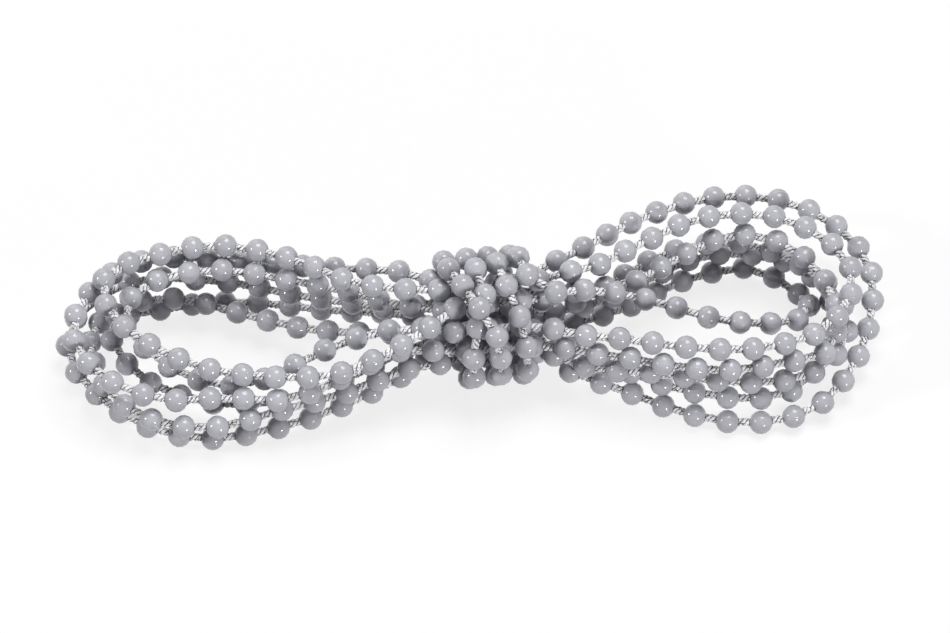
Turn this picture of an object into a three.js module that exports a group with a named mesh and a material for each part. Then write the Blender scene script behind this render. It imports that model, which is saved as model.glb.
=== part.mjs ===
import * as THREE from "three";

// A hank of roller blind chain: plastic balls moulded on one cord, wound in six long turns and
// bound round its waist with the last stretch of the same chain. Millimetres, +X along the hank,
// +Z up, the origin on the ground under the middle of the hank.

// Driving dimensions of the chain
const ballDiameter = 4.2;
const ballPitch = 6; // from ball to ball along the cord
const cordDiameter = 1.5;
const cordStub = 1.2; // cord left standing past the last ball at a cut end
const ballClearance = 0.1; // least gap between balls that press on each other
const tightestBend = 74; // degrees that the cord turns at one ball, at most

// Driving dimensions of the binding round the waist
const wrapTurns = 3.2;
const wrapSpacing = 4.8; // along the hank, from one turn to the next
const wrapStart = 9.8; // along the hank, where the binding begins
const wrapStartAngle = 105; // degrees round the waist, from the back over the top
const wrapLean = 2; // how far each turn leans along the hank
const wrapLeanAngle = 175;
const wrapNest = 0.2; // the binding sinks this far into the dips of the bundle

// Where the binding's last turn is tucked under the turn before it
const crossAngle = 132; // degrees round the waist
const crossLift = 3.2; // the upper turn rises by this much over the lower one
const crossLiftSpread = 0.075; // of a turn
const crossShift = 3.7; // and past the crossing it leans out to the left by this much
const crossShiftPast = 0.14;
const crossShiftSpread = 0.13;
const tuckBefore = 0.1; // of a turn before the crossing, where the last turn bends to the right
const tuckLength = 0.2;

const waistMiddle = 2.5;
const waistLength = 11;
const waistTurn = 8; // degrees by which the waist lies askew, its right end to the back

// Facets of a ball and of the cord between two balls
const ballSides = 5;
const cordSides = 3;
const ballRingLatitude = 26.6; // degrees, the two rings of corners on each ball

// How the wound chain is let settle until no two balls overlap
const settleSteps = 600;
const settleShare = 0.4; // part of each correction that a step makes
const shapeHold = 0.01; // pull towards the wound shape
const holdSteps = 420;

const wrapPointsPerTurn = 12;
const curveDivisions = 6000;

const ballRadius = ballDiameter / 2;
const cordRadius = cordDiameter / 2;
const strandSpacing = ballDiameter + ballClearance;
const leastFoldSpan = 2 * ballPitch * Math.cos(radians(tightestBend / 2));

// Twelve strands pass through the waist: three in the middle and nine round them, each of the
// nine 20 degrees to one side of a middle strand.
const middleRadius = strandSpacing / Math.sqrt(3);
const nestAngle = radians(20);
const nestHeight = Math.sqrt(strandSpacing ** 2 - (middleRadius * Math.sin(nestAngle)) ** 2);
const bundleRadius = middleRadius * Math.cos(nestAngle) + nestHeight;
const wrapRadius = bundleRadius + strandSpacing - wrapNest;
const waistHeight = wrapRadius + ballRadius;

// The six turns in the order in which they were wound. Each leaves the front of the waist, goes
// round the left loop, back through the waist, round the right loop and to the waist again.
const turns = [
  {
    leftLoop: [
      [-10.5, -8.5, 17], [-18.5, -13.5, 16], [-28, -16.5, 14.5], [-39.5, -15, 13.5],
      [-51, -12, 14], [-62, -5.5, 15.5], [-66.5, 1.5, 16], [-66, 7.5, 16],
      [-56.5, 12.5, 16], [-45, 14.5, 16], [-32.5, 9.5, 17], [-21.5, 3, 18.5], [-10.5, 0.5, 19.5],
    ],
    backSlot: outerSlot(70),
    rightLoop: [
      [17.5, 4, 19.5], [29.5, 12.5, 18.5], [41, 19.5, 18], [53.5, 20.5, 17.5],
      [64, 15, 16.5], [68, 7.5, 15.5], [65.5, -1, 15], [59, -7, 15],
      [49.5, -10.5, 16], [38, -11, 17], [26.5, -9, 17], [17.5, -7.5, 16.5],
    ],
    frontSlot: outerSlot(150),
  },
  {
    leftLoop: [
      [-11.5, -5, 15], [-23, -6, 13], [-33, -10, 10.5], [-42, -13, 9],
      [-50.5, -11.5, 9.5], [-58, -6.5, 10.5], [-63, 0.5, 11.5], [-60.5, 7, 12.5],
      [-50, 11, 13], [-38.5, 10, 13.5], [-26, 6, 14.5], [-13.5, 1, 15],
    ],
    backSlot: middleSlot(90),
    rightLoop: [
      [20, 4.5, 15], [28, 6.5, 14.5], [37, 14, 13.5], [46.5, 19.5, 13.5],
      [55, 18, 13], [61.5, 12.5, 12], [65, 4, 11.5], [63, -6.5, 11],
      [55, -10, 11.5], [45.5, -12.5, 12.5], [35.5, -12, 13], [23.5, -9.5, 12.5], [17.5, -7.5, 12],
    ],
    frontSlot: outerSlot(190),
  },
  {
    leftLoop: [
      [-11.5, -7.5, 13], [-23, -13.5, 12], [-33.5, -17.5, 11], [-43.5, -17, 10.5],
      [-55.5, -18, 11], [-66, -14, 12.5], [-72, -4.5, 13], [-70, 4.5, 13],
      [-63.5, 12, 13], [-53.5, 15, 12.5], [-42, 14, 12], [-26.5, 10.5, 14.5], [-12.5, 7.5, 16.5],
    ],
    backSlot: outerSlot(30),
    rightLoop: [
      [18, 12.5, 16.5], [30, 23, 14], [42.5, 30, 12], [54, 31, 11],
      [65, 26, 10], [71.5, 17.5, 8.5], [72, 8, 7], [68.5, -3.5, 4.5],
      [61, -13, 3], [51, -15.5, 2], [40, -14, 2], [29.5, -10, 3], [19, -7, 7],
    ],
    frontSlot: outerSlot(270),
  },
  {
    leftLoop: [
      [-11, -7, 7], [-24, -13, 3.5], [-35.5, -17, 2], [-47, -19.5, 2], [-59.5, -16.5, 2.5],
      [-69, -8.5, 3.5], [-73.5, -0.5, 4.5], [-71.5, 7.5, 6], [-65.5, 11.5, 7.5],
      [-56.5, 13.5, 8], [-45, 13, 8], [-33.5, 9.5, 8.5], [-22.5, 6, 10], [-11.5, 3, 12],
    ],
    backSlot: outerSlot(350),
    rightLoop: [
      [20.5, 5, 12], [29, 14, 10.5], [38.5, 20, 9.5], [49, 21, 9.5],
      [58.5, 17, 9], [64.5, 12, 8], [67.5, 3, 7.5], [63, -7, 7.5],
      [55, -11, 8], [46.5, -12, 8.5], [35.5, -11, 9.5], [24, -9.5, 10], [17.5, -7.5, 9.5],
    ],
    frontSlot: middleSlot(210),
  },
  {
    leftLoop: [
      [-11, -5.5, 9.5], [-22.5, -10.5, 7], [-35, -13.5, 5], [-47.5, -13.5, 5],
      [-58.5, -9.5, 6], [-64.5, -2.5, 7], [-65.5, 3.5, 7.5], [-61, 9.5, 7],
      [-55, 11, 6], [-44, 8.5, 5], [-31.5, 3.5, 6], [-20.5, 0, 8.5], [-11, -1, 10],
    ],
    backSlot: middleSlot(330),
    rightLoop: [
      [20, 6, 9], [30, 13, 7], [39.5, 20.5, 6], [47.5, 22, 5.5],
      [56.5, 19.5, 5], [62.5, 14, 4.5], [65, 7, 4], [62.5, -2.5, 4],
      [57.5, -9.5, 4.5], [48, -13, 5], [38, -11.5, 5.5], [27.5, -9, 7.5], [19, -5, 7.5],
    ],
    frontSlot: outerSlot(230),
  },
  {
    leftLoop: [
      [-11, -6.5, 8.5], [-21.5, -11.5, 7.5], [-32.5, -15, 6.5], [-44, -20, 6],
      [-56, -19.5, 6.5], [-65, -13, 6.5], [-69, -3.5, 6], [-68.5, 5.5, 4.5],
      [-60.5, 10, 3], [-50, 13, 2], [-38, 13, 2], [-25.5, 10, 3.5], [-14.5, 6.5, 6.5],
    ],
    backSlot: outerSlot(310),
    rightLoop: [
      [17, 5.5, 6.5], [28, 11, 4], [37.5, 18, 2.5], [48.5, 21.5, 2],
      [57.5, 18, 2.5], [61.5, 12, 4], [58, 5.5, 6.5], [51.5, 2, 9],
      [43, 1, 11.5], [34, 2, 14], [25.5, 2, 17], [19, 0.5, 19.5],
    ],
  },
];
const startSlot = outerSlot(110); // the first end of the chain is tucked in here

function radians(degrees) {
  return (degrees * Math.PI) / 180;
}

// Where a strand passes through the waist: angle round it from the back over the top
function slotAt(angle, radius) {
  return { y: radius * Math.cos(radians(angle)), z: waistHeight + radius * Math.sin(radians(angle)) };
}

function outerSlot(angle) {
  return slotAt(angle, bundleRadius);
}

function middleSlot(angle) {
  return slotAt(angle, middleRadius);
}

// A point of the straight waist, turned to the way in which the waist lies in the hank
function askew(x, slot) {
  const point = new THREE.Vector3(x - waistMiddle, slot.y, slot.z);
  point.applyAxisAngle(new THREE.Vector3(0, 0, 1), radians(waistTurn));
  point.x += waistMiddle;
  return point;
}

// The two points of a strand where it enters and leaves the waist; side is 1 when it runs to +X
function throughWaist(slot, side) {
  return [-side, side].map((end) => askew(waistMiddle + (end * waistLength) / 2, slot));
}

function swell(turn, spread) {
  return Math.exp(-((turn / spread) ** 2));
}

// The binding: a leaning helix round the bundle, from the right end of the waist to the left, with
// its last turn tucked under the one before it
function wrapPoints() {
  const points = [];
  const count = Math.round(wrapTurns * wrapPointsPerTurn);
  const crossTurn = 2 + (wrapStartAngle - crossAngle) / 360;
  for (let k = 0; k <= count; k += 1) {
    const turn = k / wrapPointsPerTurn;
    const past = turn - crossTurn;
    const tucked = Math.max(0, past - 1 + tuckBefore);
    const angle = wrapStartAngle - 360 * turn;
    const x =
      wrapStart -
      wrapSpacing * turn +
      wrapLean * Math.cos(radians(angle - wrapLeanAngle)) -
      crossShift * swell(past - crossShiftPast, crossShiftSpread) +
      wrapSpacing * (Math.min(1, tucked / tuckLength) + tucked);
    const radius = wrapRadius + crossLift * swell(past, crossLiftSpread);
    points.push(askew(x, slotAt(angle, radius)));
  }
  return points;
}

// The line that the cord follows as it is wound, from its first end to its last
function woundRoute() {
  const points = throughWaist(startSlot, -1);
  for (const turn of turns) {
    points.push(...turn.leftLoop.map((p) => new THREE.Vector3(...p)));
    points.push(...throughWaist(turn.backSlot, 1));
    points.push(...turn.rightLoop.map((p) => new THREE.Vector3(...p)));
    if (turn.frontSlot) {
      points.push(...throughWaist(turn.frontSlot, -1));
    }
  }
  points.push(...wrapPoints());
  return points;
}

// Ball centres a pitch apart along the route
function spacedCentres(points) {
  const curve = new THREE.CatmullRomCurve3(points, false, "centripetal");
  curve.arcLengthDivisions = curveDivisions;
  return curve.getSpacedPoints(Math.floor(curve.getLength() / ballPitch));
}

// Moves two balls along the line between them by half of change each, apart where it is positive
function part(centres, moves, a, b, change) {
  const line = centres[b].clone().sub(centres[a]);
  line.multiplyScalar((0.5 * change(line.length())) / line.length());
  moves[a].sub(line);
  moves[b].add(line);
}

// Lets the balls settle: each link keeps its length, no bend is too tight, no two balls overlap
// and none sinks below the ground
function settled(wound) {
  const centres = wound.map((c) => c.clone());
  for (let step = 0; step < settleSteps; step += 1) {
    const moves = centres.map(() => new THREE.Vector3());
    for (let i = 0; i + 1 < centres.length; i += 1) {
      part(centres, moves, i, i + 1, (length) => ballPitch - length);
    }
    for (let i = 0; i + 2 < centres.length; i += 1) {
      part(centres, moves, i, i + 2, (length) => Math.max(0, leastFoldSpan - length));
    }
    for (let i = 0; i < centres.length; i += 1) {
      for (let j = i + 2; j < centres.length; j += 1) {
        if (centres[i].distanceToSquared(centres[j]) < strandSpacing ** 2) {
          part(centres, moves, i, j, (length) => strandSpacing - length);
        }
      }
    }
    centres.forEach((centre, i) => {
      centre.addScaledVector(moves[i], settleShare);
      if (step < holdSteps) {
        centre.lerp(wound[i], shapeHold);
      }
      centre.z = Math.max(centre.z, ballRadius);
    });
  }
  return centres;
}

// One ring of corners square to the chain at a place along it
function ring(frame, along, radius, sides, phase) {
  const middle = frame.centre.clone().addScaledVector(frame.tangent, along);
  return Array.from({ length: sides }, (unused, k) => {
    const angle = (2 * Math.PI * (k + phase)) / sides;
    const corner = middle.clone().addScaledVector(frame.normal, radius * Math.cos(angle));
    return { angle, point: corner.addScaledVector(frame.side, radius * Math.sin(angle)) };
  });
}

// The chain's direction at each ball, with a normal that turns as little as it can
function framesAlong(centres) {
  const normal = new THREE.Vector3(0, 0, 1);
  return centres.map((centre, i) => {
    const before = centres[Math.max(i - 1, 0)];
    const after = centres[Math.min(i + 1, centres.length - 1)];
    const tangent = after.clone().sub(before).normalize();
    normal.addScaledVector(tangent, -normal.dot(tangent)).normalize();
    return { centre, tangent, normal: normal.clone(), side: tangent.clone().cross(normal) };
  });
}

// All rings from one cut end to the other: cord, ball, ball, cord for every ball
function chainRings(centres) {
  const frames = framesAlong(centres);
  const cordAlong = Math.sqrt(ballRadius ** 2 - cordRadius ** 2);
  const ballAlong = ballRadius * Math.sin(radians(ballRingLatitude));
  const ballRingRadius = ballRadius * Math.cos(radians(ballRingLatitude));
  const rings = [ring(frames[0], -cordAlong - cordStub, cordRadius, cordSides, 0)];
  for (const frame of frames) {
    rings.push(ring(frame, -cordAlong, cordRadius, cordSides, 0));
    rings.push(ring(frame, -ballAlong, ballRingRadius, ballSides, 0));
    rings.push(ring(frame, ballAlong, ballRingRadius, ballSides, 0.5));
    rings.push(ring(frame, cordAlong, cordRadius, cordSides, 0));
  }
  rings.push(ring(frames.at(-1), cordAlong + cordStub, cordRadius, cordSides, 0));
  return rings;
}

// Triangles between two rings of any number of corners, walking round both by angle
function stitch(a, b) {
  const faces = [];
  const angleAt = (corners, k) =>
    corners[k % corners.length].angle + 2 * Math.PI * Math.floor(k / corners.length);
  let i = 0;
  let j = 0;
  while (i < a.length || j < b.length) {
    const here = a[i % a.length].point;
    const there = b[j % b.length].point;
    const stepOnA = j >= b.length || (i < a.length && angleAt(a, i + 1) <= angleAt(b, j + 1));
    if (stepOnA) {
      i += 1;
      faces.push(here, a[i % a.length].point, there);
    } else {
      j += 1;
      faces.push(here, b[j % b.length].point, there);
    }
  }
  return faces;
}

// The flat cut end of the cord
function cutEnd(corners) {
  const faces = [];
  for (let k = 1; k + 1 < corners.length; k += 1) {
    faces.push(corners[0].point, corners[k].point, corners[k + 1].point);
  }
  return faces;
}

function chainGeometry(centres) {
  const rings = chainRings(centres);
  const corners = cutEnd(rings[0].slice().reverse());
  for (let k = 0; k + 1 < rings.length; k += 1) {
    corners.push(...stitch(rings[k], rings[k + 1]));
  }
  corners.push(...cutEnd(rings.at(-1)));
  return new THREE.BufferGeometry().setFromPoints(corners);
}

// Puts the middle of the hank over the origin and its lowest ball on the ground
function standOnOrigin(mesh, centres) {
  const box = new THREE.Box3().setFromPoints(centres);
  const middle = box.getCenter(new THREE.Vector3());
  mesh.position.set(-middle.x, -middle.y, ballRadius - box.min.z);
}

function ballChain() {
  const centres = settled(spacedCentres(woundRoute()));
  const plastic = new THREE.MeshStandardMaterial({ color: 0xa5a5ab, roughness: 0.35 });
  const chain = new THREE.Mesh(chainGeometry(centres), plastic);
  chain.name = "ball_chain";
  standOnOrigin(chain, centres);
  return chain;
}

const hank = new THREE.Group();
hank.add(ballChain());

export default hank;
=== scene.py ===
import math

import bmesh
import bpy
import numpy as np
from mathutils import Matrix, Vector


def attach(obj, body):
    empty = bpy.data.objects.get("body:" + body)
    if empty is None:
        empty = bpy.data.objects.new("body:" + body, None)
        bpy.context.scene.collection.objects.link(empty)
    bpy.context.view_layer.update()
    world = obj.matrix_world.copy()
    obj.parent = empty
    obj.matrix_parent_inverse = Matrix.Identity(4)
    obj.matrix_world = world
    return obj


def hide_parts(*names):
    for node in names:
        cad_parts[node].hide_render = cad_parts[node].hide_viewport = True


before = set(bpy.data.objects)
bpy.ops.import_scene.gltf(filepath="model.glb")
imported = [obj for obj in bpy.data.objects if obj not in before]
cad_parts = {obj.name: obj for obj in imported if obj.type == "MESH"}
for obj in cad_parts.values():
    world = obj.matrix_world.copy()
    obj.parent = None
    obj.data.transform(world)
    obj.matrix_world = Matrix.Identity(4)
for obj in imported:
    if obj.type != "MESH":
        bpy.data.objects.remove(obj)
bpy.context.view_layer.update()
print("frame loaded:", sorted(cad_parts))

mm = 0.001  # sizes below are in millimetres, Blender works in metres

# the chain, as the frame's solid has it
chain = {
    "ballDiameter": 4.2,
    "ballPitch": 6.0,
    "cordDiameter": 1.5,
    "cordStub": 1.2,        # cord past the last ball at a cut end
    "ballClearance": 0.1,   # least gap between balls that press on each other
    "tightestBend": 74.0,   # degrees that the cord turns at one ball
}

# the binding round the waist
wrap = {
    "turns": 3.2,
    "spacing": 4.8,
    "start": 9.8,
    "startAngle": 105.0,    # degrees round the waist, from the back over the top
    "lean": 2.0,
    "leanAngle": 175.0,
    "nest": 0.2,            # it sinks this far into the dips of the bundle
    "waistMiddle": 2.5,
    "waistLength": 11.0,
    "waistTurn": 8.0,       # degrees by which the waist lies askew, its right end to the back
    "pointsPerTurn": 12,
    # the last turn is tucked under the turn before it
    "crossAngle": 132.0,    # degrees round the waist
    "crossLift": 3.2,       # the upper turn rises by this much over the lower one
    "crossLiftSpread": 0.075,
    "crossShift": 3.7,      # and past the crossing it leans out to the left by this much
    "crossShiftPast": 0.14,
    "crossShiftSpread": 0.13,
    "tuckBefore": 0.1,      # of a turn before the crossing, where the last turn bends to the right
    "tuckLength": 0.2,
}

# how the wound chain settles until no two balls overlap
settling = {
    "steps": 600,
    "share": 0.4,           # part of each correction that a step makes
    "hold": 0.01,           # pull towards the wound shape
    "holdSteps": 420,
    "lookAgain": 20,        # steps from one search for near balls to the next
    "margin": 3.0,          # a ball this much further away still counts as near
}

ballRadius = chain["ballDiameter"] / 2
strandSpacing = chain["ballDiameter"] + chain["ballClearance"]
# least distance from a ball to the next but one
leastFoldSpan = 2 * chain["ballPitch"] * math.cos(math.radians(chain["tightestBend"] / 2))

# twelve strands pass through the waist: three in the middle and nine round them,
# each of the nine 20 degrees to one side of a middle strand
middleRadius = strandSpacing / math.sqrt(3)
nestAngle = math.radians(20)
bundleRadius = middleRadius * math.cos(nestAngle) + math.sqrt(
    strandSpacing ** 2 - (middleRadius * math.sin(nestAngle)) ** 2)
wrapRadius = bundleRadius + strandSpacing - wrap["nest"]
waistHeight = wrapRadius + ballRadius


# y and z of a strand in the waist, angle from the back over the top
def slotAt(angle, radius):
    return (radius * math.cos(math.radians(angle)),
            waistHeight + radius * math.sin(math.radians(angle)))


def outerSlot(angle):
    return slotAt(angle, bundleRadius)


def middleSlot(angle):
    return slotAt(angle, middleRadius)


# the six turns in the order they were wound: left loop, back of the waist, right loop, front
startSlot = outerSlot(110)  # where the chain's first end lies in the waist
turns = [
    {
        "leftLoop": [
            (-10.5, -8.5, 17), (-18.5, -13.5, 16), (-28, -16.5, 14.5), (-39.5, -15, 13.5),
            (-51, -12, 14), (-62, -5.5, 15.5), (-66.5, 1.5, 16), (-66, 7.5, 16),
            (-56.5, 12.5, 16), (-45, 14.5, 16), (-32.5, 9.5, 17), (-21.5, 3, 18.5),
            (-10.5, 0.5, 19.5),
        ],
        "backSlot": outerSlot(70),
        "rightLoop": [
            (17.5, 4, 19.5), (29.5, 12.5, 18.5), (41, 19.5, 18), (53.5, 20.5, 17.5),
            (64, 15, 16.5), (68, 7.5, 15.5), (65.5, -1, 15), (59, -7, 15),
            (49.5, -10.5, 16), (38, -11, 17), (26.5, -9, 17), (17.5, -7.5, 16.5),
        ],
        "frontSlot": outerSlot(150),
    },
    {
        "leftLoop": [
            (-11.5, -5, 15), (-23, -6, 13), (-33, -10, 10.5), (-42, -13, 9),
            (-50.5, -11.5, 9.5), (-58, -6.5, 10.5), (-63, 0.5, 11.5), (-60.5, 7, 12.5),
            (-50, 11, 13), (-38.5, 10, 13.5), (-26, 6, 14.5), (-13.5, 1, 15),
        ],
        "backSlot": middleSlot(90),
        "rightLoop": [
            (20, 4.5, 15), (28, 6.5, 14.5), (37, 14, 13.5), (46.5, 19.5, 13.5),
            (55, 18, 13), (61.5, 12.5, 12), (65, 4, 11.5), (63, -6.5, 11),
            (55, -10, 11.5), (45.5, -12.5, 12.5), (35.5, -12, 13), (23.5, -9.5, 12.5),
            (17.5, -7.5, 12),
        ],
        "frontSlot": outerSlot(190),
    },
    {
        "leftLoop": [
            (-11.5, -7.5, 13), (-23, -13.5, 12), (-33.5, -17.5, 11), (-43.5, -17, 10.5),
            (-55.5, -18, 11), (-66, -14, 12.5), (-72, -4.5, 13), (-70, 4.5, 13),
            (-63.5, 12, 13), (-53.5, 15, 12.5), (-42, 14, 12), (-26.5, 10.5, 14.5),
            (-12.5, 7.5, 16.5),
        ],
        "backSlot": outerSlot(30),
        "rightLoop": [
            (18, 12.5, 16.5), (30, 23, 14), (42.5, 30, 12), (54, 31, 11),
            (65, 26, 10), (71.5, 17.5, 8.5), (72, 8, 7), (68.5, -3.5, 4.5),
            (61, -13, 3), (51, -15.5, 2), (40, -14, 2), (29.5, -10, 3), (19, -7, 7),
        ],
        "frontSlot": outerSlot(270),
    },
    {
        "leftLoop": [
            (-11, -7, 7), (-24, -13, 3.5), (-35.5, -17, 2), (-47, -19.5, 2), (-59.5, -16.5, 2.5),
            (-69, -8.5, 3.5), (-73.5, -0.5, 4.5), (-71.5, 7.5, 6), (-65.5, 11.5, 7.5),
            (-56.5, 13.5, 8), (-45, 13, 8), (-33.5, 9.5, 8.5), (-22.5, 6, 10), (-11.5, 3, 12),
        ],
        "backSlot": outerSlot(350),
        "rightLoop": [
            (20.5, 5, 12), (29, 14, 10.5), (38.5, 20, 9.5), (49, 21, 9.5),
            (58.5, 17, 9), (64.5, 12, 8), (67.5, 3, 7.5), (63, -7, 7.5),
            (55, -11, 8), (46.5, -12, 8.5), (35.5, -11, 9.5), (24, -9.5, 10), (17.5, -7.5, 9.5),
        ],
        "frontSlot": middleSlot(210),
    },
    {
        "leftLoop": [
            (-11, -5.5, 9.5), (-22.5, -10.5, 7), (-35, -13.5, 5), (-47.5, -13.5, 5),
            (-58.5, -9.5, 6), (-64.5, -2.5, 7), (-65.5, 3.5, 7.5), (-61, 9.5, 7),
            (-55, 11, 6), (-44, 8.5, 5), (-31.5, 3.5, 6), (-20.5, 0, 8.5), (-11, -1, 10),
        ],
        "backSlot": middleSlot(330),
        "rightLoop": [
            (20, 6, 9), (30, 13, 7), (39.5, 20.5, 6), (47.5, 22, 5.5),
            (56.5, 19.5, 5), (62.5, 14, 4.5), (65, 7, 4), (62.5, -2.5, 4),
            (57.5, -9.5, 4.5), (48, -13, 5), (38, -11.5, 5.5), (27.5, -9, 7.5), (19, -5, 7.5),
        ],
        "frontSlot": outerSlot(230),
    },
    {
        "leftLoop": [
            (-11, -6.5, 8.5), (-21.5, -11.5, 7.5), (-32.5, -15, 6.5), (-44, -20, 6),
            (-56, -19.5, 6.5), (-65, -13, 6.5), (-69, -3.5, 6), (-68.5, 5.5, 4.5),
            (-60.5, 10, 3), (-50, 13, 2), (-38, 13, 2), (-25.5, 10, 3.5), (-14.5, 6.5, 6.5),
        ],
        "backSlot": outerSlot(310),
        "rightLoop": [
            (17, 5.5, 6.5), (28, 11, 4), (37.5, 18, 2.5), (48.5, 21.5, 2),
            (57.5, 18, 2.5), (61.5, 12, 4), (58, 5.5, 6.5), (51.5, 2, 9),
            (43, 1, 11.5), (34, 2, 14), (25.5, 2, 17), (19, 0.5, 19.5),
        ],
    },
]


# a point of the straight waist, turned as the waist lies in the hank
def askew(x, y, z):
    turn = math.radians(wrap["waistTurn"])
    out = x - wrap["waistMiddle"]
    return (wrap["waistMiddle"] + out * math.cos(turn) - y * math.sin(turn),
            out * math.sin(turn) + y * math.cos(turn), z)


# a strand's two points in the waist, side 1 from left to right and -1 from right to left
def throughWaist(slot, side):
    return [askew(wrap["waistMiddle"] + end * wrap["waistLength"] / 2, *slot)
            for end in (-side, side)]


# 1 where turn is 0, falling to nothing on both sides
def swell(turn, spread):
    return math.exp(-(turn / spread) ** 2)


# the binding, a spiral round the waist towards the left, with the crossing near its end
def wrapPoints():
    points = []
    crossTurn = 2 + (wrap["startAngle"] - wrap["crossAngle"]) / 360  # turns up to the crossing
    for k in range(round(wrap["turns"] * wrap["pointsPerTurn"]) + 1):
        turn = k / wrap["pointsPerTurn"]
        past = turn - crossTurn
        tucked = max(0, past - 1 + wrap["tuckBefore"])
        angle = wrap["startAngle"] - 360 * turn
        x = (wrap["start"] - wrap["spacing"] * turn
             + wrap["lean"] * math.cos(math.radians(angle - wrap["leanAngle"]))
             - wrap["crossShift"] * swell(past - wrap["crossShiftPast"], wrap["crossShiftSpread"])
             + wrap["spacing"] * (min(1, tucked / wrap["tuckLength"]) + tucked))
        radius = wrapRadius + wrap["crossLift"] * swell(past, wrap["crossLiftSpread"])
        points.append(askew(x, *slotAt(angle, radius)))
    return points


# all points that the chain runs through, from its first end to its last
def woundRoute():
    points = throughWaist(startSlot, -1)
    for turn in turns:
        points += turn["leftLoop"] + throughWaist(turn["backSlot"], 1) + turn["rightLoop"]
        if "frontSlot" in turn:
            points += throughWaist(turn["frontSlot"], -1)
    return np.array(points + wrapPoints(), float)


# centripetal Catmull-Rom curve through the points
def smoothLine(points, stepsPerSpan=60):
    p = np.vstack([2 * points[0] - points[1], points, 2 * points[-1] - points[-2]])
    line = []
    for a, b, c, d in zip(p, p[1:], p[2:], p[3:]):
        spans = [np.linalg.norm(q - r) ** 0.5 for q, r in ((b, a), (c, b), (d, c))]
        t0, t1, t2, t3 = np.cumsum([0] + spans)
        t = np.linspace(t1, t2, stepsPerSpan, endpoint=False)[:, None]
        ab = (t1 - t) / (t1 - t0) * a + (t - t0) / (t1 - t0) * b
        bc = (t2 - t) / (t2 - t1) * b + (t - t1) / (t2 - t1) * c
        cd = (t3 - t) / (t3 - t2) * c + (t - t2) / (t3 - t2) * d
        abc = (t2 - t) / (t2 - t0) * ab + (t - t0) / (t2 - t0) * bc
        bcd = (t3 - t) / (t3 - t1) * bc + (t - t1) / (t3 - t1) * cd
        line.append((t2 - t) / (t2 - t1) * abc + (t - t1) / (t2 - t1) * bcd)
    return np.vstack(line + [points[-1:]])


# ball centres one pitch apart along the curve
def spacedCentres(points):
    line = smoothLine(points)
    along = np.concatenate([[0], np.cumsum(np.linalg.norm(np.diff(line, axis=0), axis=1))])
    at = np.linspace(0, along[-1], int(along[-1] / chain["ballPitch"]) + 1)
    return np.stack([np.interp(at, along, line[:, k]) for k in range(3)], axis=1)


# adds to moves what brings balls a and b further apart by the change for their distance
def moveApart(centres, moves, a, b, change):
    line = centres[b] - centres[a]
    length = np.linalg.norm(line, axis=1)
    push = line * (0.5 * change(length) / length)[:, None]
    np.add.at(moves, a, -push)
    np.add.at(moves, b, push)


# keeps each link's length and parts the balls until none overlap or sink below ground
def settled(wound):
    centres = wound.copy()
    every = np.arange(len(wound))
    for step in range(settling["steps"]):
        if step % settling["lookAgain"] == 0:
            far = np.linalg.norm(centres[:, None] - centres[None, :], axis=2)
            nearA, nearB = np.nonzero(np.triu(far < strandSpacing + settling["margin"], 2))
        moves = np.zeros_like(centres)
        moveApart(centres, moves, every[:-1], every[1:],
                  lambda length: chain["ballPitch"] - length)
        moveApart(centres, moves, every[:-2], every[2:],
                  lambda length: np.maximum(0, leastFoldSpan - length))
        moveApart(centres, moves, nearA, nearB,
                  lambda length: np.maximum(0, strandSpacing - length))
        centres += settling["share"] * moves
        if step < settling["holdSteps"]:
            centres += settling["hold"] * (wound - centres)
        centres[:, 2] = np.maximum(centres[:, 2], ballRadius)
    return centres


centres = settled(spacedCentres(woundRoute()))

# moved to where the frame has the hank: its middle over the origin, its lowest ball on the ground
toOrigin = -(centres.min(axis=0) + centres.max(axis=0)) / 2
toOrigin[2] = ballRadius - centres[:, 2].min()
centres = (centres + toOrigin) * mm
print("chain settled:", len(centres), "balls")

# camera
photoView = {
    "elevation": 48.0,
    "distance": 1.0,        # metres
    "focalPixels": 5570.0,
    "imageWidth": 950.0,
    "sensorWidth": 36.0,    # millimetres
    "aimHeight": 13.0,      # millimetres above the ground, on the waist's axis
}


def makeCamera():
    data = bpy.data.cameras.new("photoCamera")
    data.sensor_width = photoView["sensorWidth"]
    data.lens = data.sensor_width * photoView["focalPixels"] / photoView["imageWidth"]
    camera = bpy.data.objects.new("photoCamera", data)
    bpy.context.scene.collection.objects.link(camera)
    elevation = math.radians(photoView["elevation"])
    aim = Vector((0, 0, photoView["aimHeight"])) * mm + Vector(toOrigin * mm)
    back = Vector((0, -math.cos(elevation), math.sin(elevation)))
    camera.location = aim + back * photoView["distance"]
    camera.rotation_euler = (-back).to_track_quat("-Z", "Y").to_euler()
    bpy.context.scene.camera = camera


makeCamera()


# a node with its settings, and its inputs linked from sockets or set to values
def addNode(tree, kind, settings=None, links=None):
    node = tree.nodes.new(kind)
    for name, value in (settings or {}).items():
        setattr(node, name, value)
    for name, value in (links or {}).items():
        socket = node.inputs[name]
        if isinstance(value, bpy.types.NodeSocket):
            tree.links.new(value, socket)
        else:
            socket.default_value = value
    return node


# a Geometry Nodes tree with named inputs, its input node and its output node
def newTree(name, sockets):
    tree = bpy.data.node_groups.new(name, "GeometryNodeTree")
    for label, kind, value in sockets:
        socket = tree.interface.new_socket(
            label, in_out="INPUT", socket_type="NodeSocket" + kind)
        if value is not None:
            socket.default_value = value
    tree.interface.new_socket("Geometry", in_out="OUTPUT", socket_type="NodeSocketGeometry")
    return tree, tree.nodes.new("NodeGroupInput"), tree.nodes.new("NodeGroupOutput")


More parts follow.
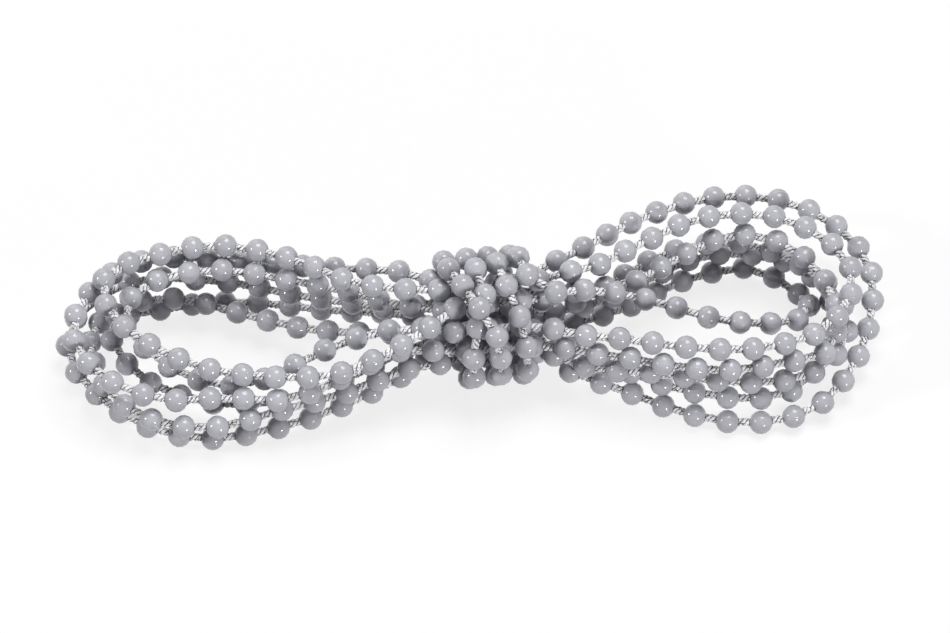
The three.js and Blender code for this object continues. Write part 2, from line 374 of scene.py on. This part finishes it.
# runs a tree on an object and returns the result as a plain mesh object
def runTree(tree, source, name, values):
    modifier = source.modifiers.new(name, "NODES")
    modifier.node_group = tree
    keys = {item.name: item.identifier
            for item in tree.interface.items_tree if item.in_out == "INPUT"}
    for label, value in values.items():
        modifier[keys[label]] = value
    evaluated = source.evaluated_get(bpy.context.evaluated_depsgraph_get())
    mesh = bpy.data.meshes.new_from_object(evaluated)
    mesh.name = name
    source.modifiers.remove(modifier)
    piece = bpy.data.objects.new(name, mesh)
    bpy.context.scene.collection.objects.link(piece)
    return piece


# points joined in their order, which a piece is laid on
def makeLine(name, points):
    mesh = bpy.data.meshes.new(name)
    mesh.from_pydata([tuple(p) for p in points], [(k, k + 1) for k in range(len(points) - 1)], [])
    line = bpy.data.objects.new(name, mesh)
    bpy.context.scene.collection.objects.link(line)
    return line


def dropObject(thing):
    mesh = thing.data
    bpy.data.objects.remove(thing)
    bpy.data.meshes.remove(mesh)


# materials
ballPlastic = {
    "color": (0.47, 0.47, 0.51),
    "roughness": 0.14,
    "ior": 1.48,
    "toneSpread": 0.06,     # how far a ball's grey may lie from the middle one
    "cloudScale": 420.0,    # faint clouds in the plastic
    "cloudFrom": 0.3,
    "cloudTo": 0.7,
    "cloudSpread": 0.03,    # how much lighter or darker a cloud is
    "seamWidth": 0.02,      # of half the way round, the mould's parting line
    "seamHeight": 0.03,
}
cordYarn = {
    "color": (0.92, 0.92, 0.94, 1.0),
    "roughness": 0.6,
    # the colour of the painted shade in the dips between the plies
    "grooveShadeColor": (0.04, 0.04, 0.045, 1.0),
    "grooveShadeFrom": 0.49,     # from the cord's middle, where the painted shade in a groove between the plies is darkest
    "grooveShadeTo": 0.62,       # and where it ends
    "shadeFrom": 0.86,      # from the middle of a gap, where painted shade begins, darkening the cord towards the ball
    "shadeTo": 1.02,
    "shadeLeft": 0.1,       # part of the white that is left there
    "strandsPerMillimetre": 3.6,
    "strandStretch": 0.3,
    "strandFrom": 0.34,     # noise value up to which a speck is dark, with painted shade in the dips between the fibres
    "strandTo": 0.44,       # and from which the yarn is white
    "speckShadeLeft": 0.1,      # part of the white that is left in a speck's painted shade
    "strandVariety": 40.0,  # how far one length's noise lies from the next
    "strandRelief": 0.05,   # height of the yarn over a speck
}


def newMaterial(name):
    material = bpy.data.materials.new(name)
    material.use_nodes = True
    tree = material.node_tree
    shader = tree.nodes["Principled BSDF"]
    return material, tree, shader


def addMath(tree, operation, first, second=None):
    return addNode(tree, "ShaderNodeMath", {"operation": operation},
                   {0: first} if second is None else {0: first, 1: second}).outputs[0]


def makeBallPlastic():
    material, tree, shader = newMaterial("ballPlastic")
    shader.inputs["Roughness"].default_value = ballPlastic["roughness"]
    shader.inputs["IOR"].default_value = ballPlastic["ior"]
    tone = addNode(tree, "ShaderNodeAttribute", {"attribute_name": "tone"})
    toned = addNode(tree, "ShaderNodeMapRange", None, {
        "Value": tone.outputs["Fac"],
        "To Min": 1 - ballPlastic["toneSpread"],
        "To Max": 1 + ballPlastic["toneSpread"],
    })
    place = addNode(tree, "ShaderNodeTexCoord")
    cloud = addNode(tree, "ShaderNodeTexNoise", None, {
        "Vector": place.outputs["Object"], "Scale": ballPlastic["cloudScale"], "Detail": 3.0})
    clouded = addNode(tree, "ShaderNodeMapRange", None, {
        "Value": cloud.outputs["Fac"],
        "From Min": ballPlastic["cloudFrom"], "From Max": ballPlastic["cloudTo"],
        "To Min": 1 - ballPlastic["cloudSpread"], "To Max": 1 + ballPlastic["cloudSpread"]})
    color = addNode(tree, "ShaderNodeVectorMath", {"operation": "SCALE"}, {
        0: ballPlastic["color"],
        "Scale": addMath(tree, "MULTIPLY", toned.outputs["Result"], clouded.outputs["Result"])})
    tree.links.new(color.outputs[0], shader.inputs["Base Color"])

    around = addNode(tree, "ShaderNodeSeparateXYZ", None, {
        "Vector": addNode(tree, "ShaderNodeUVMap", {"uv_map": "ballMap"}).outputs["UV"]})
    inHalf = addMath(tree, "FRACT", addMath(tree, "MULTIPLY", around.outputs["X"], 2.0))
    fromSeam = addMath(tree, "ABSOLUTE", addMath(tree, "SUBTRACT", inHalf, 0.5))
    seam = addNode(tree, "ShaderNodeMapRange", {"interpolation_type": "SMOOTHSTEP"}, {
        "Value": fromSeam, "From Min": 0.0, "From Max": ballPlastic["seamWidth"],
        "To Min": 1.0, "To Max": 0.0})
    ridge = addNode(tree, "ShaderNodeBump", None, {
        "Height": seam.outputs["Result"], "Distance": ballPlastic["seamHeight"] * mm})
    tree.links.new(ridge.outputs["Normal"], shader.inputs["Normal"])
    return material


def makeCordYarn():
    material, tree, shader = newMaterial("cordYarn")
    shader.inputs["Roughness"].default_value = cordYarn["roughness"]
    inLink = addNode(tree, "ShaderNodeAttribute", {"attribute_name": "inLink"}).outputs["Vector"]
    own = addNode(tree, "ShaderNodeAttribute", {"attribute_name": "tone"}).outputs["Fac"]

    # painted shade: the cord is coloured dark towards its middle, in the grooves between the plies
    across = addNode(tree, "ShaderNodeVectorMath", {"operation": "MULTIPLY"}, {
        0: inLink, 1: (1, 1, 0)})
    fromMiddle = addNode(tree, "ShaderNodeVectorMath", {"operation": "LENGTH"}, {
        0: across.outputs["Vector"]})
    outOfGrooveShade = addNode(tree, "ShaderNodeMapRange", {"interpolation_type": "SMOOTHSTEP"}, {
        "Value": fromMiddle.outputs["Value"],
        "From Min": cordYarn["grooveShadeFrom"] * mm, "From Max": cordYarn["grooveShadeTo"] * mm})

    # painted shade: the cord is coloured darker where it goes into a ball
    along = addNode(tree, "ShaderNodeSeparateXYZ", None, {"Vector": inLink}).outputs["Z"]
    outOfBallShade = addNode(tree, "ShaderNodeMapRange", {"interpolation_type": "SMOOTHSTEP"}, {
        "Value": addMath(tree, "ABSOLUTE", along),
        "From Min": cordYarn["shadeFrom"] * mm, "From Max": cordYarn["shadeTo"] * mm,
        "To Min": 1.0, "To Max": cordYarn["shadeLeft"]})

    # painted shade: specks of noise, lowered by the bump below, are coloured dark as dips between
    # the fibres
    stretched = addNode(tree, "ShaderNodeVectorMath", {"operation": "MULTIPLY"}, {
        0: inLink, 1: (1, 1, cordYarn["strandStretch"])})
    strands = addNode(tree, "ShaderNodeTexNoise", {"noise_dimensions": "4D"}, {
        "Vector": stretched.outputs["Vector"],
        "W": addMath(tree, "MULTIPLY", own, cordYarn["strandVariety"]),
        "Scale": cordYarn["strandsPerMillimetre"] / mm, "Detail": 1.0})
    onStrand = addNode(tree, "ShaderNodeMapRange", {"interpolation_type": "SMOOTHSTEP"}, {
        "Value": strands.outputs["Fac"],
        "From Min": cordYarn["strandFrom"], "From Max": cordYarn["strandTo"],
        "To Min": cordYarn["speckShadeLeft"], "To Max": 1.0})

    # the yarn's white, less the painted shade of the grooves, of the ends at the balls and of the
    # specks
    white = addMath(tree, "MULTIPLY", outOfGrooveShade.outputs["Result"], addMath(
        tree, "MULTIPLY", outOfBallShade.outputs["Result"], onStrand.outputs["Result"]))
    color = addNode(tree, "ShaderNodeMix", {"data_type": "RGBA"})
    tree.links.new(white, color.inputs["Factor"])
    color.inputs["A"].default_value = cordYarn["grooveShadeColor"]
    color.inputs["B"].default_value = cordYarn["color"]
    tree.links.new(color.outputs["Result"], shader.inputs["Base Color"])
    relief = addNode(tree, "ShaderNodeBump", None, {
        "Height": onStrand.outputs["Result"], "Distance": cordYarn["strandRelief"] * mm})
    tree.links.new(relief.outputs["Normal"], shader.inputs["Normal"])
    return material


# balls
ball = {
    "flatHalfLength": 1.97,  # from the middle to the flat where the cord goes in
    "sides": 12,
    "bands": 6,
    "seed": 4,
}


# a lathed ball with a flat at each end; its UV map runs round it and along it
def makeOneBall():
    mesh = bpy.data.meshes.new("oneBall")
    bm = bmesh.new()
    uv = bm.loops.layers.uv.new("ballMap")
    flatLatitude = math.asin(ball["flatHalfLength"] / ballRadius)
    wider = 2 / (1 + math.cos(math.pi / ball["sides"]))  # flats and corners average the width
    rings = []
    for k in range(ball["bands"] + 1):
        latitude = flatLatitude * (2 * k / ball["bands"] - 1)
        radius = ballRadius * wider * math.cos(latitude) * mm
        height = ballRadius * math.sin(latitude) * mm
        turn = [2 * math.pi * s / ball["sides"] for s in range(ball["sides"])]
        rings.append([bm.verts.new((radius * math.cos(a), radius * math.sin(a), height))
                      for a in turn])
    for k, (low, high) in enumerate(zip(rings, rings[1:])):
        for s in range(ball["sides"]):
            t = (s + 1) % ball["sides"]
            face = bm.faces.new((low[s], low[t], high[t], high[s]))
            face.smooth = True
            for loop, (du, dv) in zip(face.loops, ((0, 0), (1, 0), (1, 1), (0, 1))):
                loop[uv].uv = ((s + du) / ball["sides"], (k + dv) / ball["bands"])
    bm.faces.new(list(reversed(rings[0])))
    bm.faces.new(rings[-1])
    bm.to_mesh(mesh)
    bm.free()
    return bpy.data.objects.new("oneBall", mesh)


# points the Z axis of each copy along a direction and spins it by a random angle
def addSpin(tree, direction, seed):
    lined = addNode(tree, "FunctionNodeAlignRotationToVector", {"axis": "Z"}, {
        "Vector": direction})
    spin = addNode(tree, "FunctionNodeRandomValue", {"data_type": "FLOAT"}, {
        "Max": 2 * math.pi, "Seed": seed})
    about = addNode(tree, "FunctionNodeAxisAngleToRotation", None, {
        "Axis": (0, 0, 1), "Angle": spin.outputs[1]})
    spun = addNode(tree, "FunctionNodeRotateRotation", {"rotation_space": "LOCAL"}, {
        "Rotation": lined.outputs["Rotation"], "Rotate By": about.outputs["Rotation"]})
    return spun.outputs["Rotation"]


# makes the copies real, each with a random tone that its material reads
def addToned(tree, copies, seed):
    own = addNode(tree, "FunctionNodeRandomValue", {"data_type": "FLOAT"}, {"Seed": seed})
    toned = addNode(tree, "GeometryNodeStoreNamedAttribute", {
        "data_type": "FLOAT", "domain": "INSTANCE"}, {
        "Geometry": copies, "Name": "tone", "Value": own.outputs[1]})
    real = addNode(tree, "GeometryNodeRealizeInstances", None, {
        "Geometry": toned.outputs["Geometry"]})
    return real.outputs["Geometry"]


def ballTree():
    tree, given, result = newTree("Balls on a cord", [
        ("Geometry", "Geometry", None), ("Ball", "Object", None),
        ("Seed", "Int", 0), ("Material", "Material", None)])
    curve = addNode(tree, "GeometryNodeMeshToCurve", None, {"Mesh": given.outputs["Geometry"]})
    tangent = addNode(tree, "GeometryNodeInputTangent")
    shape = addNode(tree, "GeometryNodeObjectInfo", None, {"Object": given.outputs["Ball"]})
    placed = addNode(tree, "GeometryNodeInstanceOnPoints", None, {
        "Points": curve.outputs["Curve"], "Instance": shape.outputs["Geometry"],
        "Rotation": addSpin(tree, tangent.outputs["Tangent"], given.outputs["Seed"])})
    painted = addNode(tree, "GeometryNodeSetMaterial", None, {
        "Geometry": addToned(tree, placed.outputs["Instances"], given.outputs["Seed"]),
        "Material": given.outputs["Material"]})
    tree.links.new(painted.outputs["Geometry"], result.inputs["Geometry"])
    return tree


def makeBalls():
    line = makeLine("ballLine", centres)
    oneBall = makeOneBall()
    piece = runTree(ballTree(), line, "balls", {
        "Ball": oneBall, "Seed": ball["seed"], "Material": makeBallPlastic()})
    dropObject(line)
    dropObject(oneBall)
    print("balls moulded:", len(piece.data.polygons), "faces")
    return piece


# cord
cord = {
    "plies": 3,
    "plyDiameter": 0.74,
    "plyFromMiddle": 0.42,
    "lay": 2.7,             # length of one full twist
    "intoBall": 0.25,       # how far a length of cord reaches into the ball at each end
    "plySides": 5,
    "plySteps": 6,
    "lumpHeight": 0.16,     # the yarn lies unevenly, so that no two lengths are alike
    "lumpsPerMillimetre": 1.3,
    "seed": 11,
}


def cordTree():
    tree, given, result = newTree("Twisted cord between balls", [
        ("Geometry", "Geometry", None), ("Link Length", "Float", 0.0), ("Lay", "Float", 0.0),
        ("Ply Radius", "Float", 0.0), ("Ply From Middle", "Float", 0.0),
        ("Lump Height", "Float", 0.0), ("Lumps Per Metre", "Float", 0.0),
        ("Seed", "Int", 0), ("Material", "Material", None)])
    ends = addNode(tree, "GeometryNodeInputMeshEdgeVertices")
    run = addNode(tree, "ShaderNodeVectorMath", {"operation": "SUBTRACT"}, {
        0: ends.outputs["Position 2"], 1: ends.outputs["Position 1"]})
    directed = addNode(tree, "GeometryNodeStoreNamedAttribute", {
        "data_type": "FLOAT_VECTOR", "domain": "EDGE"}, {
        "Geometry": given.outputs["Geometry"], "Name": "run", "Value": run.outputs["Vector"]})
    middles = addNode(tree, "GeometryNodeMeshToPoints", {"mode": "EDGES"}, {
        "Mesh": directed.outputs["Geometry"]})

    # one length of twisted cord, its middle at the origin
    down = addNode(tree, "ShaderNodeCombineXYZ", None, {
        "Z": addMath(tree, "MULTIPLY", given.outputs["Link Length"], -0.5)})
    helix = addNode(tree, "GeometryNodeCurveSpiral", None, {
        "Resolution": cord["plySteps"] + 1,
        "Rotations": addMath(tree, "DIVIDE", given.outputs["Link Length"], given.outputs["Lay"]),
        "Start Radius": given.outputs["Ply From Middle"],
        "End Radius": given.outputs["Ply From Middle"],
        "Height": given.outputs["Link Length"]})
    section = addNode(tree, "GeometryNodeCurvePrimitiveCircle", {"mode": "RADIUS"}, {
        "Resolution": cord["plySides"], "Radius": given.outputs["Ply Radius"]})
    ply = addNode(tree, "GeometryNodeCurveToMesh", None, {
        "Curve": helix.outputs["Curve"], "Profile Curve": section.outputs["Curve"],
        "Fill Caps": True})
    plies = addNode(tree, "GeometryNodeJoinGeometry")
    for k in range(cord["plies"]):
        turned = addNode(tree, "GeometryNodeTransform", None, {
            "Geometry": ply.outputs["Mesh"], "Translation": down.outputs["Vector"],
            "Rotation": (0, 0, 2 * math.pi * k / cord["plies"])})
        tree.links.new(turned.outputs["Geometry"], plies.inputs["Geometry"])

    place = addNode(tree, "GeometryNodeInputPosition")
    measured = addNode(tree, "GeometryNodeStoreNamedAttribute", {
        "data_type": "FLOAT_VECTOR", "domain": "POINT"}, {
        "Geometry": plies.outputs["Geometry"], "Name": "inLink",
        "Value": place.outputs["Position"]})

    # a copy of it in every gap
    direction = addNode(tree, "GeometryNodeInputNamedAttribute", {
        "data_type": "FLOAT_VECTOR"}, {"Name": "run"})
    placed = addNode(tree, "GeometryNodeInstanceOnPoints", None, {
        "Points": middles.outputs["Points"], "Instance": measured.outputs["Geometry"],
        "Rotation": addSpin(tree, direction.outputs["Attribute"], given.outputs["Seed"])})
    lumps = addNode(tree, "ShaderNodeTexNoise", None, {
        "Scale": given.outputs["Lumps Per Metre"], "Detail": 1.0})
    centred = addNode(tree, "ShaderNodeVectorMath", {"operation": "SUBTRACT"}, {
        0: lumps.outputs["Color"], 1: (0.5, 0.5, 0.5)})
    moved = addNode(tree, "ShaderNodeVectorMath", {"operation": "SCALE"}, {
        0: centred.outputs["Vector"], "Scale": given.outputs["Lump Height"]})
    lumpy = addNode(tree, "GeometryNodeSetPosition", None, {
        "Geometry": addToned(tree, placed.outputs["Instances"], given.outputs["Seed"]),
        "Offset": moved.outputs["Vector"]})
    smooth = addNode(tree, "GeometryNodeSetShadeSmooth", None, {
        "Geometry": lumpy.outputs["Geometry"]})
    painted = addNode(tree, "GeometryNodeSetMaterial", None, {
        "Geometry": smooth.outputs["Geometry"], "Material": given.outputs["Material"]})
    tree.links.new(painted.outputs["Geometry"], result.inputs["Geometry"])
    return tree


# the ball centres with a point added at both ends, this far past the last ball's middle
def withEnds(past):
    share = past / chain["ballPitch"]
    first = centres[0] + (centres[0] - centres[1]) * share
    last = centres[-1] + (centres[-1] - centres[-2]) * share
    return np.vstack([first, centres, last])


cutEndAt = ball["flatHalfLength"] + chain["cordStub"]  # from the last ball's middle


def makeCord():
    length = chain["ballPitch"] - 2 * ball["flatHalfLength"] + 2 * cord["intoBall"]
    line = makeLine("cordLine", withEnds(2 * cutEndAt - length))
    piece = runTree(cordTree(), line, "cord", {
        "Link Length": length * mm,
        "Lay": cord["lay"] * mm,
        "Ply Radius": cord["plyDiameter"] / 2 * mm,
        "Ply From Middle": cord["plyFromMiddle"] * mm,
        "Lump Height": 2 * cord["lumpHeight"] * mm,
        "Lumps Per Metre": cord["lumpsPerMillimetre"] / mm,
        "Seed": cord["seed"],
        "Material": makeCordYarn(),
    })
    dropObject(line)
    print("cord twisted:", len(piece.data.polygons), "faces")
    return piece


cordPiece = makeCord()
ballsPiece = makeBalls()

for piece, slot in ((cordPiece, "cord_yarn"), (ballsPiece, "ball_plastic")):
    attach(piece, "root")
    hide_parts("ball_chain")

# floor and light
studio = {
    "floorSize": 3.0,       # metres from the middle to each edge
    "floorColor": (0.4, 0.4, 0.4, 1.0),
    "shadowStrength": 0.2,  # how much of the shadow shows on the white floor
    "shadowFrom": 0.09,     # metres from the middle, where the shadow begins to fade
    "shadowTo": 0.2,        # and past which the floor is plain white
    "worldStrength": 0.03,
    "lampDistance": 1.2,
    "lamps": [
        # name, direction to the lamp, size in metres, power in watts
        ("overhead", (0.17, 0.2, 0.96), 0.7, 10.3),
        ("behind", (-0.25, 0.8, 0.55), 0.9, 2.4),
        ("leftBox", (-0.86, -0.19, 0.47), 0.2, 5.6),
        ("frontBox", (0.52, -0.83, 0.17), 0.2, 7.6),
    ],
}


# 1 on rays that the camera sees, also in a mirror or through glass, and 0 on rays that light
def seenDirectly(tree):
    path = addNode(tree, "ShaderNodeLightPath")
    return addMath(tree, "MAXIMUM", path.outputs["Is Camera Ray"], addMath(
        tree, "MAXIMUM", path.outputs["Is Glossy Ray"], path.outputs["Is Transmission Ray"]))


def makeFloor():
    material, tree, shader = newMaterial("studioFloor")
    shader.inputs["Roughness"].default_value = 1.0
    shader.inputs["Specular IOR Level"].default_value = 0.0
    seen = seenDirectly(tree)
    color = addNode(tree, "ShaderNodeMix", {"data_type": "RGBA"})
    tree.links.new(seen, color.inputs["Factor"])
    color.inputs["A"].default_value = studio["floorColor"]
    color.inputs["B"].default_value = (1, 1, 1, 1)
    tree.links.new(color.outputs["Result"], shader.inputs["Base Color"])
    glow = addNode(tree, "ShaderNodeEmission", None, {"Color": (1, 1, 1, 1), "Strength": 1.0})
    place = addNode(tree, "ShaderNodeTexCoord")
    fromMiddle = addNode(tree, "ShaderNodeVectorMath", {"operation": "LENGTH"}, {
        0: place.outputs["Object"]})
    plain = addNode(tree, "ShaderNodeMapRange", {"interpolation_type": "SMOOTHSTEP"}, {
        "Value": fromMiddle.outputs["Value"],
        "From Min": studio["shadowFrom"], "From Max": studio["shadowTo"],
        "To Min": 1 - studio["shadowStrength"], "To Max": 1.0})
    mix = addNode(tree, "ShaderNodeMixShader", None, {
        0: addMath(tree, "MULTIPLY", seen, plain.outputs["Result"]),
        1: shader.outputs["BSDF"], 2: glow.outputs["Emission"]})
    tree.links.new(mix.outputs["Shader"], tree.nodes["Material Output"].inputs["Surface"])
    size = studio["floorSize"]
    mesh = bpy.data.meshes.new("studioFloor")
    corners = [(-size, -size, 0), (size, -size, 0), (size, size, 0), (-size, size, 0)]
    mesh.from_pydata(corners, [], [(0, 1, 2, 3)])
    mesh.materials.append(material)
    floor = bpy.data.objects.new("studioFloor", mesh)
    bpy.context.scene.collection.objects.link(floor)


def makeLights():
    world = bpy.data.worlds.new("studioWorld")
    bpy.context.scene.world = world
    world.use_nodes = True
    tree = world.node_tree
    strength = addNode(tree, "ShaderNodeMapRange", None, {
        "Value": seenDirectly(tree), "To Min": studio["worldStrength"], "To Max": 1.0})
    background = tree.nodes["Background"]
    background.inputs["Color"].default_value = (1, 1, 1, 1)
    tree.links.new(strength.outputs["Result"], background.inputs["Strength"])
    for name, direction, size, power in studio["lamps"]:
        data = bpy.data.lights.new(name, "AREA")
        data.shape = "DISK"
        data.size = size
        data.energy = power
        lamp = bpy.data.objects.new(name, data)
        toLamp = Vector(direction).normalized()
        lamp.location = toLamp * studio["lampDistance"]
        lamp.rotation_euler = toLamp.to_track_quat("Z", "Y").to_euler()
        bpy.context.scene.collection.objects.link(lamp)
    print("studio lit:", len(studio["lamps"]), "lamps")


makeFloor()
makeLights()
bpy.context.scene.view_settings.view_transform = "Standard"
